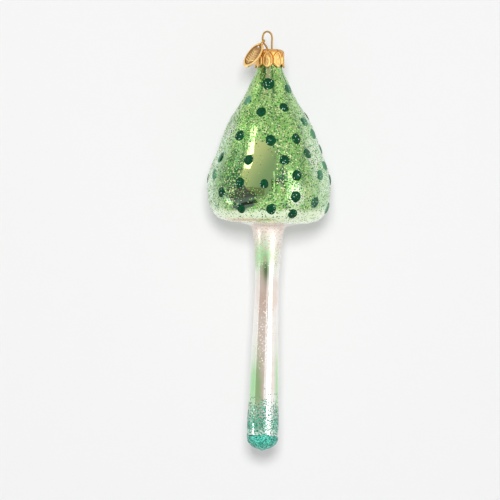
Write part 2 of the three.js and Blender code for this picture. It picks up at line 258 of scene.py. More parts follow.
# %% [markdown]
# ## Turned shapes
#
# Glass, cap and coat are round, so each starts as an outline that is spun about the Z axis. The
# spin gives an exact body of revolution, and a formula then moves its vertices to press in the
# flutes or the petals. `finish_piece` turns the result into an object that rides on its body.


# %% Spinning an outline
def corners(work):
    """The vertices of a bmesh as rows of an array."""
    return np.array([vert.co for vert in work.verts])


def turned(outline, steps):
    """Spins (radius, z) points about Z. The first vertex of each row is in front, at -Y."""
    work = bmesh.new()
    row = [work.verts.new((0, -radius, z)) for radius, z in outline]
    edges = [work.edges.new(pair) for pair in zip(row, row[1:])]
    bmesh.ops.spin(
        work, geom=row + edges, cent=(0, 0, 0), axis=(0, 0, 1), angle=math.tau, steps=steps,
        use_merge=True,
    )
    bmesh.ops.remove_doubles(work, verts=work.verts, dist=1e-5)
    bmesh.ops.recalc_face_normals(work, faces=work.faces)
    return work


def reshape(work, place):
    """Moves each vertex to where place says, from arrays of its radius, turn and z."""
    x, y, z = corners(work).T
    for vert, point in zip(work.verts, place(np.hypot(x, y), np.arctan2(x, -y), z)):
        vert.co = point


def smoothstep(value, low, high):
    share = np.clip((value - low) / (high - low), 0, 1)
    return share * share * (3 - 2 * share)


def bell(value, centre, width):
    return np.exp(-(((value - centre) / width) ** 2))


# %% Finishing a piece
def as_mesh(name, work):
    """The mesh of a bmesh, which is then freed."""
    mesh = bpy.data.meshes.new(name)
    work.to_mesh(mesh)
    work.free()
    return mesh


def add_object(name, mesh, finish):
    """Puts a mesh into the scene as an object with a finish."""
    mesh.materials.append(finish.material)
    thing = bpy.data.objects.new(name, mesh)
    bpy.context.scene.collection.objects.link(thing)
    return thing


def finish_piece(name, work, finish, body, node):
    """Makes a piece of a bmesh that was worked in millimetres. It rides on a body."""
    bmesh.ops.scale(work, vec=(MM, MM, MM), verts=work.verts)
    piece = add_object(name, as_mesh(name, work), finish)
    piece.data.shade_smooth()
    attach(piece, body)
    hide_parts(node)
    print(name, len(piece.data.vertices), "vertices")
    return piece


def set_values(piece, name, values):
    """Stores one number a vertex under a name, for the finish to read."""
    layer = piece.data.attributes.new(name, "FLOAT", "POINT")
    layer.data.foreach_set("value", np.asarray(values, np.float32))


# %% [markdown]
# ## The shape of the glass
#
# The head, the stem and the neck are one blown body. Its outline is a smooth curve through a few
# stations, and the same curve later carries the enamel, the dip coat and the glitter, so it is kept
# as a table: the length run down the outline from the lip, with the radius, the drop and the
# outward direction there.

# %% Sizes of the glass, in millimetres
NECK_RADIUS = 5.2
NECK_LENGTH = 5.5
HEAD_RADIUS = 26.7
HEAD_HEIGHT = 69.0
STEM_LENGTH = 97.0
STEM_TOP = 6.9
STEM_WAIST = 5.0
STEM_FOOT = 6.7
WALL = 0.9
FLUTES = 9
FLUTE_DEPTH = 0.7
FLUTE_TURN = math.radians(7)
LEAN = math.radians(1.6)
LEAN_LENGTH = 35.0
HEAD_BASE = NECK_LENGTH + HEAD_HEIGHT
TIP = HEAD_BASE + STEM_LENGTH

cap_low, cap_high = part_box("crown_cap")
crown_axis = (cap_low + cap_high) / 2 / MM
crown_top = cap_high.z / MM
lip_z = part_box("glass_body")[1].z / MM
print("crown axis:", crown_axis, "lip at", round(lip_z, 2), "mm")


# %% A smooth curve through points
def curve_through(points, shares, spacing=0.0):
    """Points on a smooth curve through others. Spacing 0.5 keeps it calm where they bunch."""
    points = np.asarray(points, float)
    ends = np.vstack([2 * points[0] - points[1], points, 2 * points[-1] - points[-2]])
    place = np.clip(shares, 0, 1) * (len(points) - 1)
    first = np.minimum(place.astype(int), len(points) - 2)
    part = (place - first)[:, None]
    a, b, c, d = (ends[first + step] for step in range(4))
    ab, bc, cd = (
        np.linalg.norm(far - near, axis=1, keepdims=True) ** spacing
        for near, far in ((a, b), (b, c), (c, d))
    )
    leave = ((b - a) / ab - (c - a) / (ab + bc) + (c - b) / bc) * bc
    arrive = ((c - b) / bc - (d - b) / (bc + cd) + (d - c) / cd) * bc
    cubic = 2 * b - 2 * c + leave + arrive
    square = 3 * c - 3 * b - 2 * leave - arrive
    return ((cubic * part + square) * part + leave) * part + b


# %% The outline and its table
# Share of the way from neck to head radius, and share of the head's height
HEAD_SHARES = [
    (0.01, 0.02), (0.043, 0.055), (0.112, 0.1), (0.16, 0.13), (0.23, 0.18), (0.32, 0.23),
    (0.42, 0.28), (0.53, 0.335), (0.63, 0.39), (0.7, 0.45), (0.765, 0.51), (0.83, 0.565),
    (0.9, 0.615), (0.955, 0.665), (0.985, 0.72), (1, 0.79), (0.98, 0.85), (0.93, 0.9),
    (0.855, 0.94), (0.73, 0.972), (0.55, 0.99), (0.35, 0.997),
]
# Share of the stem's length, and the radius there
STEM_STATIONS = [
    (0.008, STEM_TOP + 1.1), (0.025, STEM_TOP), (0.07, STEM_TOP * 0.88),
    (0.16, (STEM_TOP + STEM_WAIST) * 0.465), (0.27, STEM_WAIST), (0.42, STEM_WAIST * 1.06),
    (0.6, (STEM_WAIST + STEM_FOOT) * 0.5), (0.79, STEM_FOOT * 0.94), (0.86, STEM_FOOT),
    (0.92, STEM_FOOT * 0.985),
]
FOOT_TOP = HEAD_BASE + 0.94 * STEM_LENGTH


def glass_stations():
    """(radius, drop below the lip) from the lip to the tip."""
    neck = [(NECK_RADIUS, NECK_LENGTH * share) for share in (0, 0.5, 0.9)]
    head = [
        (NECK_RADIUS + out * (HEAD_RADIUS - NECK_RADIUS), NECK_LENGTH + down * HEAD_HEIGHT)
        for out, down in HEAD_SHARES
    ]
    stem = [(radius, HEAD_BASE + down * STEM_LENGTH) for down, radius in STEM_STATIONS]
    foot = [
        (STEM_FOOT * 0.97 * math.cos(angle), FOOT_TOP + (TIP - FOOT_TOP) * 0.93 * math.sin(angle))
        for angle in map(math.radians, (20, 40, 60, 75))
    ]
    return neck + head + stem + foot + [(0, TIP)]


outline = curve_through(glass_stations(), np.linspace(0, 1, 8000))
steps_along = np.diff(outline, axis=0, prepend=outline[:1])
runs = np.cumsum(np.hypot(*steps_along.T))
along = np.gradient(outline, axis=0)
along /= np.hypot(*along.T)[:, None]
TOTAL_RUN = runs[-1]
print("length of the glass's outline:", round(TOTAL_RUN, 1), "mm")


def on_outline(run, lift=0.0):
    """Radius and drop at a length down the outline, lifted off the glass."""
    at = [np.interp(run, runs, column) for column in (*outline.T, *along.T)]
    return np.maximum(0, at[0] + at[3] * lift), at[1] - at[2] * lift


def run_at_drop(drop):
    return np.interp(drop, np.maximum.accumulate(outline[:, 1]), runs)


# %% [markdown]
# A blower presses the flutes into the soft head, and near the neck the glass folds sharply. The
# whole body leans a little to the left below the head's middle, because the stem was drawn by hand.


# %% Flutes and lean
FOLD_TURNS = [math.radians(angle) for angle in (-19, 8, 62, 121, 178, -122, -68)]
FOLD_DEPTH = 0.45
FOLD_WIDTH = math.radians(5)


def pressed_radius(radius, turn, drop):
    """The radius once the flutes and the folds under the cap are pressed in."""
    share = (drop - NECK_LENGTH) / HEAD_HEIGHT
    depth = FLUTE_DEPTH * smoothstep(share, 0.04, 0.3) * (1 - smoothstep(share, 0.8, 0.97))
    ridge = np.abs(np.sin(FLUTES / 2 * (turn - FLUTE_TURN)))
    pressed = depth * (1 - ridge)
    fold_fade = smoothstep(share, 0.02, 0.08) * (1 - smoothstep(share, 0.2, 0.34))
    for fold_turn in FOLD_TURNS:
        gap = np.abs(np.angle(np.exp(1j * (turn - fold_turn))))
        pressed = pressed + FOLD_DEPTH * fold_fade * np.exp(-gap / FOLD_WIDTH)
    return radius - np.minimum(radius, pressed)


def lean(radius, turn, drop):
    """Points of the leaning body, from the lip's centre, in millimetres."""
    bend_start = HEAD_BASE - LEAN_LENGTH
    bend_radius = LEAN_LENGTH / LEAN
    down = drop - bend_start
    angle = np.clip(down / bend_radius, 0, LEAN)
    straight = np.maximum(0, down - LEAN_LENGTH)
    across = radius * np.sin(turn)
    x = -bend_radius * (1 - np.cos(angle)) - straight * np.sin(angle) + across * np.cos(angle)
    depth = bend_radius * np.sin(angle) + straight * np.cos(angle) + np.minimum(0, down)
    z = -(bend_start + depth) - across * np.sin(angle)
    return np.stack([x, -radius * np.cos(turn), z], axis=-1)


def glass_point(radius, turn, drop):
    """Points on the fluted, leaning glass in the ornament's own frame."""
    points = lean(pressed_radius(radius, turn, drop), turn, drop)
    return points + np.array([crown_axis.x, crown_axis.y, lip_z])


def skin_point(run, turn, lift):
    """Points on the glass by the run down its outline, the turn and the lift."""
    radius, drop = on_outline(run, lift)
    return glass_point(radius, turn, drop)


# %% [markdown]
# ## The glass and its colours
#
# Seen from outside, silvered glass under clear lacquer behaves as polished metal under a coat: the
# silver gives the reflections, the lacquer tints them and the glass adds a sharp white gloss. The
# head is green, with a patch left clear in front, dense fine glitter elsewhere and a pale band at
# its base. The stem is pearl, with green sprayed on in soft patches, and the foot is dusted teal.

# %% Heights and colours of the glass
HEAD_BASE_Z = lip_z - HEAD_BASE
GLITTER_Z = -158.0

LIME = colour(166, 208, 126)
OLIVE = colour(108, 148, 82)
SHADE_GREEN = colour(58, 96, 62)
YELLOW_LIME = colour(204, 218, 138)
BRIGHT_LIME = colour(186, 232, 120)
SILVER_MINT = colour(216, 244, 208)
MINT_BASE = colour(232, 248, 212)
CLEAR_GOLD = colour(186, 198, 122)
CLEAR_GREEN = colour(116, 148, 90)
PAINTED_FOLD_SHADE_GREEN = colour(34, 84, 34)
PAINTED_FOLD_REFLECTION_GREY = colour(158, 158, 116)
# Colour of the painted reflections on the head
PAINTED_REFLECTION_GREEN = colour(70, 86, 80)
GLARE_WHITE = colour(244, 248, 236)
SPECK_DARK = colour(20, 84, 44)
SPECK_GREEN = colour(108, 192, 82)
SPECK_PALE = colour(226, 236, 178)
RIM_PEACH = colour(208, 146, 92)

PEARL = colour(252, 248, 243)
PEARL_ROSE = colour(240, 222, 210)
ROSE_GRAIN = colour(214, 180, 160)
STEM_GREEN = colour(176, 228, 170)
STREAK_DARK = colour(84, 128, 70)
TEAL_WASH = colour(126, 214, 184)
TEAL_SPECK = colour(36, 178, 144)
TEAL_DEEP = colour(6, 96, 78)
print("the head ends and the stem begins at", round(HEAD_BASE_Z, 1), "mm")


# %% Where on the glass
class GlassPlace:
    """Where a point of the glass is, as signals: its turn in radians and its height in mm."""

    def __init__(self, finish):
        self.at = finish.place()
        x, y, self.z = finish.parts("ShaderNodeSeparateXYZ", self.at)
        inputs = {0: x - crown_axis.x, 1: crown_axis.y - y}
        self.turn = finish.node("ShaderNodeMath", inputs, operation="ARCTAN2")
        self.side = self.turn.of("ABSOLUTE")
        # Stretched upright, for streaks that run with the flutes
        inputs = {0: self.turn * 6.0, 1: self.z * 0.09, 2: 0.0}
        self.upright = finish.node("ShaderNodeCombineXYZ", inputs)

    def spot(self, noise, turn, z, sway):
        """A soft spot. Turn and z are pairs of a middle and a width, and sway is how far the
        noise moves the spot's edge around and upright."""
        around = (self.turn + noise * sway[0]).bell(*turn)
        return around * (self.z + noise * sway[1]).bell(*z)


def round_specks(finish, at, size, share):
    """Round dots in a share of the cells of a size: the dots, and a random number in each."""
    chosen, random, middle = finish.cells(at, size)
    return (share - chosen).above(0.0, 0.03) * (1 - middle.above(0.4, 0.52)), random


# %% [markdown]
# The head's colours are laid on in layers, from the streaky ground up to the specks, much as its
# lacquer was sprayed: each layer is a mask and a colour. Most masks are soft spots at a turn and a
# height, whose edges a noise shakes. Some layers are painted light: the dark blots are painted
# reflections of the room, the glares painted highlights and the pale sides a painted sheen, and
# painted shade darkens the flute valleys, the folds under the cap and patches low in front.


# %% The head's colours
def head_finish(finish, place):
    """Colour of the head, where its specks are, and where glitter has dulled the gloss."""
    turn, z = place.turn, place.z
    mottle = finish.noise(place.at, 6.0, detail=4)
    uneven = finish.noise(place.at, 2.5, detail=4, seed=7.0) - 0.5
    streak = finish.noise(place.upright, 1.0, detail=3, seed=1.0)
    near_neck = z.above(-34.0, -20.0)

    # Painted shade darkens the valleys between the flutes, and a painted sheen makes the sides pale
    ridge = ((turn - FLUTE_TURN) * (FLUTES / 2)).of("SINE").of("ABSOLUTE")
    painted_valley_shade = (1 - ridge) ** 3.0 * z.above(-78.0, -60.0)
    painted_side_sheen = (place.side + mottle * 0.5).above(0.85, 1.45) * (1 - z.above(-44.0, -24.0) * 0.6)
    painted_side_sheen = painted_side_sheen * (1 - z.above(-48.0, -40.0) * (turn * -1.0).above(0.0, 0.3) * 0.45)
    # Painted shade in soft patches low in front, left of the middle and to its right
    shade = place.spot(mottle, (-0.48, 0.34), (-57.0, 12.0), (0.3, 8)) * 0.85
    shade = shade + place.spot(mottle, (0.56, 0.13), (-63.0, 4.0), (0.2, 0)) * 0.5

    # The clear window in front, where no glitter fell: golden above left, greener below right
    wide = place.spot(mottle, (-0.05, 0.34), (-53.0, 13.0), (0.25, 9))
    low = place.spot(mottle, (-0.2, 0.24), (-65.0, 6.0), (0.3, 7))
    window = (wide + low).above(0.34, 0.62)
    golden = (z * 0.06 - turn * 2.4 + 3.2).above(-0.5, 0.9)

    # Painted reflections as dark blots at both sides of the window, and pale painted highlights as
    # glares
    left_painted_reflection = place.spot(uneven, (-0.47, 0.27), (-72.4, 4.4), (0.5, 9))
    high_painted_reflection = place.spot(uneven, (-0.64, 0.17), (-65.5, 5.5), (0.4, 9))
    right_painted_reflection = place.spot(uneven, (0.21, 0.065), (-62.5, 4.5), (0.3, 8))
    painted_reflections = (left_painted_reflection + high_painted_reflection + right_painted_reflection).above(0.36, 0.5)
    glare = place.spot(uneven, (0.47, 0.12), (-71.5, 4.5), (0.4, 8))
    glare = glare + place.spot(uneven, (-1.02, 0.14), (-41.5, 4.0), (0.3, 6)) * 0.8
    glare = glare + place.spot(uneven, (0.92, 0.15), (-55.0, 10.0), (0.3, 8)) * 0.8

    # Painted shade in the folds under the cap with a painted grey reflection between them, the pale
    # band at the base and the warm line on its rim
    painted_fold_shade = turn.bell(-0.4, 0.1) * 1.2 + turn.bell(0.17, 0.06) + turn.bell(1.1, 0.05)
    base_band = 1 - (z + mottle * 5).above(HEAD_BASE_Z + 7.5, HEAD_BASE_Z + 9.5)
    rim_line = place.spot(mottle, (-0.5, 0.7), (HEAD_BASE_Z + 1.7, 0.6), (0.5, 0))

    ground = finish.layers(
        finish.mix(streak.above(0.4, 0.58), OLIVE, LIME),
        ((mottle.above(0.55, 0.72) * 0.6).clamped(), YELLOW_LIME),
        (z.above(-58.0, -42.0) * 0.3, BRIGHT_LIME),
        (painted_valley_shade * 0.8, OLIVE),
        (painted_side_sheen, SILVER_MINT),
        (shade, SHADE_GREEN),
        (window, finish.mix(golden, CLEAR_GREEN, CLEAR_GOLD)),
        (painted_reflections * 0.9, PAINTED_REFLECTION_GREEN),
        (glare.clamped(), GLARE_WHITE),
        (turn.bell(-0.12, 0.26) * near_neck, PAINTED_FOLD_REFLECTION_GREY),
        ((painted_fold_shade * near_neck).clamped(), PAINTED_FOLD_SHADE_GREEN),
        (base_band, MINT_BASE),
        (rim_line, RIM_PEACH),
    )

    # Two sizes of specks, in drifts that run with the flutes
    drift = (finish.noise(place.upright, 1.3, detail=3, seed=3.0) * 2.2 - 0.6).clamped()
    clean = (window + left_painted_reflection.above(0.36, 0.5) * 0.7).clamped()
    share = (1 - clean * 0.96) * (1 - base_band * 0.7) * (0.25 + drift * 0.8)
    share = share * (1 - near_neck * 0.5)
    coarse, which = round_specks(finish, place.at, 0.78, share)
    fine, which_fine = round_specks(finish, place.at, 0.5, share * 1.1)
    # Painted light: the specks are lighter and greener on the right side
    painted_lit_side = turn.above(0.6, 1.1) * 0.3
    tint = finish.mix((which + painted_lit_side).above(0.42, 0.5), SPECK_DARK, SPECK_GREEN)
    tint = finish.mix(which.above(0.76, 0.82) * (1 - painted_side_sheen), tint, SPECK_PALE)
    fine_tint = finish.mix((which_fine + painted_lit_side).above(0.42, 0.46), SPECK_DARK, SPECK_GREEN)
    fine_tint = finish.mix(which_fine.above(0.78, 0.83), fine_tint, SPECK_PALE)
    ground = finish.layers(ground, (fine * (1 - painted_side_sheen * 0.6), fine_tint), (coarse, tint))

    left = turn.above(-1.3, -1.0) * (1 - turn.above(-0.47, -0.42)) * z.above(-68.0, -63.0)
    dulled = (left + near_neck * 0.6).clamped()
    return ground, (fine * 0.6 + coarse).clamped(), dulled


# %% The stem's colours
def stem_finish(finish, place):
    """Colour of the stem and the foot, and where their glitter is."""
    turn, side, z = place.turn, place.side, place.z
    mottle = finish.noise(place.at, 5.0, seed=2.0)
    rose = finish.noise(place.at, 11.0, seed=5.0).above(0.42, 0.66)

    # Green sprayed on in two soft patches, and a dark green streak
    spray = place.spot(mottle, (-0.2, 1.1), (-94.0, 6.5), (0.8, 5))
    spray = spray + (z + mottle * 8).bell(-148.0, 13.0) * (side + mottle * 0.4).above(0.5, 0.95)
    spray = spray.clamped()
    run = place.spot(mottle, (-0.3, 0.22), (-102.0, 5.5), (0, 0)).clamped()

    # Fine rosy grain on the upper stem and round the middle
    sanded = (z + mottle * 4).above(-101.0, -95.0)
    grainy = sanded + place.spot(mottle, (-0.1, 0.5), (-125.5, 12.0), (0.5, 10))
    grain, which = round_specks(finish, place.at, 0.55, grainy * 0.7)
    grain_tint = finish.mix(which.above(0.5, 0.6), ROSE_GRAIN, finish.mix(spray, PEARL, STEM_GREEN))

    # Teal dust that thickens downwards, leaves a pale ring and stops at the dip coat
    climb = (z + mottle * 7 + side * 2.0).above(GLITTER_Z, GLITTER_Z + 11.0)
    ring = (z + mottle * 3).bell(GLITTER_Z - 10.5, 1.5)
    thick = (z + mottle * 3).bell(GLITTER_Z - 9.0, 6.0) * side.above(0.0, 0.5) * 1.7
    share = (1 - climb) * (1 - ring * 0.35) * (0.35 + mottle * 0.7 + thick)
    dust, which = round_specks(finish, place.at, 0.62, share)
    wash = (z + mottle * 4).bell(GLITTER_Z - 9.0, 3.6) * side.above(0.0, 0.5)
    bright = which.above(0.3, 0.6) * (side + 0.3).clamped()

    pearl = finish.layers(
        finish.mix((rose + z.above(-92.0, -84.0)).clamped() * 0.8, PEARL, PEARL_ROSE),
        (spray, STEM_GREEN),
        (run * 0.9, STREAK_DARK),
        (grain * 0.9, grain_tint),
        (wash * 0.7, TEAL_WASH),
        (dust, finish.mix(bright, TEAL_DEEP, TEAL_SPECK)),
    )
    return pearl, (dust + grain + sanded * 0.75).clamped()


# %% The silvered glass
def silvered_glass():
    finish = Finish("silvered_glass", Coat_Roughness=0.03, Coat_IOR=1.5)
    place = GlassPlace(finish)
    on_stem = 1 - place.z.above(HEAD_BASE_Z - 0.4, HEAD_BASE_Z + 0.4)
    head, head_specks, dulled = head_finish(finish, place)
    stem, stem_specks = stem_finish(finish, place)
    specks = head_specks * (1 - on_stem) + stem_specks * on_stem
    dulled = dulled * (1 - on_stem)
    ripple = finish.noise(place.at, 5.0, detail=2)
    finish.set(
        Base_Color=finish.mix(on_stem, head, stem),
        Metallic=0.95 - specks * 0.55,
        Roughness=0.08 + specks * 0.32 + dulled * 0.3,
        Coat_Weight=0.8 - specks * 0.4 - dulled * 0.4,
        Normal=finish.bump(ripple * 0.35 + specks * 0.12, 0.5, 0.0004),
    )
    return finish


glass_finish = silvered_glass()
print("the glass finish has", len(glass_finish.tree.nodes), "nodes")


# %% [markdown]
# The body is one closed wall: the outline goes down the outside to the tip and comes back up the
# inside, and one spin makes both surfaces, with the lip between them.

# %% The blown glass
OUTSIDE_ROWS = 190
INSIDE_ROWS = 60
CAVITY_END = 0.93
LIP_ROUNDING = 0.4
GLASS_STEPS = FLUTES * 20


def glass_profile():
    """(radius, z) from the tip up the outside, over the lip and down the inside."""
    radius, drop = on_outline(np.linspace(TOTAL_RUN, LIP_ROUNDING, OUTSIDE_ROWS))
    outside = list(zip(radius, -drop))
    outside[0] = (0, -TIP)
    lip = [(NECK_RADIUS - LIP_ROUNDING, 0), (NECK_RADIUS - WALL, 0)]
    radius, drop = on_outline(np.linspace(0.2, TOTAL_RUN * CAVITY_END, INSIDE_ROWS), -WALL)
    inside = list(zip(radius, -drop))
    return outside + lip + inside + [(0, inside[-1][1] - WALL)]


glass = turned(glass_profile(), GLASS_STEPS)
reshape(glass, lambda radius, turn, z: glass_point(radius, turn, -z))
finish_piece("blown_glass", glass, glass_finish, "mushroom", "glass_body")

# %% [markdown]
# ## Enamel dots
#
# Each dot is a blob of thick enamel that was dropped on and dried as a low dome. It starts as half
# a sphere, and each vertex is then set on the glass by how far out it is, in which direction and
# how high, so that the dot bends with the flute under it. A few slow waves in the radius keep the
# dots from being true circles.


# %% Enamel
def enamel_finish():
    finish = Finish("emerald_enamel", Coat_Roughness=0.1, Specular_IOR_Level=0.1)
    place = GlassPlace(finish)
    red, green, _ = finish.cells(place.at, 0.34)
    # The dots far out at the sides are painted paler, a painted sheen of glare on them
    left = place.turn * -1.0
    high = ((place.z - HEAD_BASE_Z) / HEAD_HEIGHT).above(0.7, 0.72)
    painted_sheen_right = place.turn.above(0.66, 0.76) * 0.16 + place.turn.above(0.9, 0.98) * 0.42
    painted_sheen_left = left.above(1.02, 1.08) * 0.6 + left.above(0.7, 0.76) * high * 0.6
    painted_side_sheen = (painted_sheen_right + painted_sheen_left) * (1 - place.side.above(1.5, 1.8))
    fleck = (red - 0.96).above(0.0, 0.01)
    body = finish.layers(
        finish.mix(finish.noise(place.at, 1.4), colour(0, 34, 18), colour(2, 76, 44)),
        (green.above(0.62, 0.75), colour(6, 88, 54)),
        (painted_side_sheen.math("MINIMUM", painted_side_sheen, 0.65), colour(122, 186, 146)),
        (fleck, colour(215, 240, 225)),
    )
    finish.set(
        Base_Color=body,
        Roughness=0.35 + green * 0.2,
        Coat_Weight=0.07 - fleck * 0.07,
        Normal=finish.bump(green, 0.25, 0.0001),
    )
    return finish


enamel = enamel_finish()

# %% Sizes and places of the dots
DOT_RISE = 0.62
DOT_SPREAD = 1.06
DOT_SAG = 1.12
DOT_FOOT = -0.2
DOT_FLATNESS = 0.8
# Turn in degrees, share of the head's height above its base, diameter in mm
FRONT_DOTS = [
    (-4, 0.871, 4.9), (59, 0.845, 3.9),
    (-51, 0.768, 3.9), (-14, 0.693, 4.1), (26, 0.722, 3.9),
    (-40, 0.546, 4.1), (1, 0.514, 4.3), (33, 0.525, 4.1), (57, 0.636, 3.7), (68, 0.559, 3.9),
    (-62, 0.409, 3.9), (-22, 0.394, 4.1), (15, 0.393, 3.9), (45, 0.436, 3.9),
    (-66, 0.303, 3.9), (-29, 0.251, 4.1), (-5, 0.245, 3.4), (26, 0.3, 4.1), (56, 0.306, 3.7),
    (70, 0.365, 3.7),
    (-50, 0.19, 3.9), (25, 0.171, 4.2), (49, 0.138, 3.9),
    (-29, 0.09, 3.7), (2, 0.09, 4.1), (25, 0.064, 3.9),
]
BACK_DOT_DIAMETER = 4.0
BACK_ROWS = [
    (0.819, (124, 180, 236)),
    (0.674, (106, 143, 181, 218, 255)),
    (0.471, (99, 137, 176, 215, 254)),
    (0.283, (98, 130, 163, 196, 229, 262)),
    (0.109, (82, 114, 148, 182, 216, 250)),
]
dots = FRONT_DOTS + [
    (turn, share, BACK_DOT_DIAMETER) for share, turns in BACK_ROWS for turn in turns
]
print(len(FRONT_DOTS), "dots in front of", len(dots))


# %% Dropping the dots on
def enamel_dot(index, turn_degrees, share, diameter, waves):
    """One low dome of enamel, bent to the glass."""
    run = run_at_drop(HEAD_BASE - share * HEAD_HEIGHT)
    middle_radius = on_outline(run)[0]
    work = bmesh.new()
    bmesh.ops.create_uvsphere(work, u_segments=28, v_segments=16, radius=1)
    below = [vert for vert in work.verts if vert.co.z < DOT_FOOT]
    bmesh.ops.delete(work, geom=below, context="VERTS")
    rim = [edge for edge in work.edges if edge.is_boundary]
    bmesh.ops.contextual_create(work, geom=rim)
    x, y, z = corners(work).T
    angle = np.arctan2(y, x)
    wobble = 1 + sum(size * np.cos(count * angle + phase) for count, size, phase in waves)
    reach = np.hypot(x, y) * diameter / 2 * DOT_SPREAD * wobble
    placed = skin_point(
        run + reach * np.cos(angle) * DOT_SAG,
        math.radians(turn_degrees) + reach * np.sin(angle) / middle_radius,
        DOT_RISE * np.sign(z) * np.abs(z) ** DOT_FLATNESS,
    )
    for vert, point in zip(work.verts, placed):
        vert.co = point
    bmesh.ops.recalc_face_normals(work, faces=work.faces)
    name, node = f"enamel_dot_{index:02d}", f"enamel_drop_{index:02d}"
    finish_piece(name, work, enamel, "mushroom", node)


chance = np.random.default_rng(4)
for index, (turn, share, diameter) in enumerate(dots, start=1):
    waves = [
        (count, chance.uniform(0.01, 0.05), chance.uniform(0, math.tau)) for count in (2, 3, 5)
    ]
    enamel_dot(index, turn, share, diameter, waves)

# %% [markdown]
# ## The dip coat
#
# The foot was dipped in teal lacquer with coarse glitter in it. The coat is a thin cup that follows
# the foot, and where the lacquer ran a little its edge is wavy.


# %% Teal lacquer
def teal_finish():
    finish = Finish("teal_coat", Coat_Roughness=0.12)
    at = finish.place()
    red, green, _ = finish.cells(at, 0.42)
    foil_share = red.above(0.55, 0.65)
    body = finish.layers(
        finish.mix(finish.noise(at, 2.6), colour(14, 126, 106), colour(46, 188, 162)),
        (foil_share, colour(108, 222, 200)),
        (green.above(0.74, 0.8), colour(6, 92, 78)),
    )
    finish.set(
        Base_Color=body,
        Metallic=foil_share * 0.6,
        Roughness=0.32 + green * 0.25,
        Coat_Weight=0.4,
        Normal=finish.bump(red, 0.5, 0.00025),
    )
    return finish


teal = teal_finish()

# %% The dip coat
DIP_HEIGHT = 6.4
DIP_THICKNESS = 0.45
DIP_ROWS = 26
DIP_SUNK = 0.05
DIP_STEPS = 72


def dip_coat():
    """The coat as a turned cup, from the tip up the outside and down the inside."""
    top = run_at_drop(TIP - DIP_HEIGHT)
    rows = np.linspace(0, 1, DIP_ROWS)
    thickness = DIP_THICKNESS * np.clip(rows / 0.12, 0, 1) ** 0.5
    outer = on_outline(top + rows * (TOTAL_RUN - top), thickness)
    inner = on_outline(top + rows * (TOTAL_RUN - top), -DIP_SUNK)
    profile = list(zip(outer[0], -outer[1]))[::-1] + list(zip(inner[0], -inner[1]))[1:]
    profile[0] = (0, profile[0][1])
    profile[-1] = (0, profile[-1][1])
    return turned(profile, DIP_STEPS)


def wavy_edge(radius, turn, z):
    """Follows the foot; the coat's upper edge runs up and down by up to a millimetre."""
    near_edge = smoothstep(-z, TIP - DIP_HEIGHT + 2.4, TIP - DIP_HEIGHT - 0.2)
    wave = 0.35 * np.sin(3 * turn + 0.8) + 0.22 * np.sin(7 * turn) + 0.45 * np.sin(turn + 2.6)
    return glass_point(radius, turn, -z - wave * near_edge)


coat = dip_coat()
reshape(coat, wavy_edge)
finish_piece("teal_dip", coat, teal, "mushroom", "foot_dip_coat")

# %% [markdown]
# ## The crown cap
#
# The cap is stamped from thin brass sheet: a flat top, a rounded shoulder and a skirt cut into
# eight pointed petals, each embossed with a raised border and a teardrop. It is turned as a plain
# thin cup, the two wire holes are cut through its top, and a formula then cuts the skirt to petals
# and raises the embossing, which also gives each vertex its relief.

# %% Sizes of the cap, in millimetres
CAP_RADIUS = 6.15
CAP_SHOULDER = 1.6
CAP_SKIRT = 6.0
CAP_STEPS = 352
SKIRT_ROWS = 84
PETAL_LENGTH = 2.0
PETALS = 8
PETAL_TURN = math.radians(-9)
PETAL_BULGE = 0.1
PETAL_FLARE = 0.05
PETAL_POINT = 0.6
SHEET = 0.35
HOLE_SPACING = 2.6
HOLE_RADIUS = 0.7
LOOP_TURN = math.radians(33)
HALF_PETAL = math.pi * CAP_RADIUS / PETALS
RELIEF_GROUND = 0.35
RELIEF_GAIN = 3.4
print("half a petal is", round(HALF_PETAL, 2), "mm wide")


# %% The plain cup with its two holes
def cup_profile():
    """(radius, z) from the middle of the underside, down the inside and up the outside."""

    def side(radius, top, rows):
        corner = radius + top - CAP_SHOULDER
        bend = CAP_SHOULDER + top
        flat = [(corner * share / 12, top) for share in range(12)]
        shoulder = [
            (corner + bend * math.sin(angle), -CAP_SHOULDER + bend * math.cos(angle))
            for angle in np.radians(np.arange(0, 91, 9))
        ]
        drop = CAP_SKIRT + PETAL_LENGTH - CAP_SHOULDER
        shares = np.linspace(0, 1, rows)[1:]
        return flat + shoulder + [(radius + top, -CAP_SHOULDER - drop * share) for share in shares]

    return side(CAP_RADIUS, -SHEET, SKIRT_ROWS) + side(CAP_RADIUS, 0, SKIRT_ROWS)[::-1]


def evaluated(thing):
    """A bmesh of an object as its modifiers or its bevel leave it."""
    shaped = thing.evaluated_get(bpy.context.evaluated_depsgraph_get())
    work = bmesh.new()
    work.from_mesh(shaped.to_mesh())
    shaped.to_mesh_clear()
    return work


def cut_holes(work, middles, radius, depth):
    """Cuts round holes along Z through a closed bmesh, and returns the result."""
    punch = bmesh.new()
    for x, y in middles:
        bmesh.ops.create_cone(
            punch, cap_ends=True, segments=36, radius1=radius, radius2=radius, depth=depth,
            matrix=Matrix.Translation((x, y, 0)),
        )
    body = bpy.data.objects.new("blank", as_mesh("blank", work))
    tool = bpy.data.objects.new("punch", as_mesh("punch", punch))
    for thing in (body, tool):
        bpy.context.scene.collection.objects.link(thing)
    cut = body.modifiers.new("holes", "BOOLEAN")
    cut.operation = "DIFFERENCE"
    cut.solver = "EXACT"
    cut.object = tool
    result = evaluated(body)
    for thing in (body, tool):
        mesh = thing.data
        bpy.data.objects.remove(thing)
        bpy.data.meshes.remove(mesh)
    return result


# %% Petals and embossing
def from_petal(turn):
    """0 on a petal's middle line, 1 halfway to the next one."""
    across = (turn - PETAL_TURN) * PETALS / math.tau
    return np.abs(2 * (across - np.round(across)))


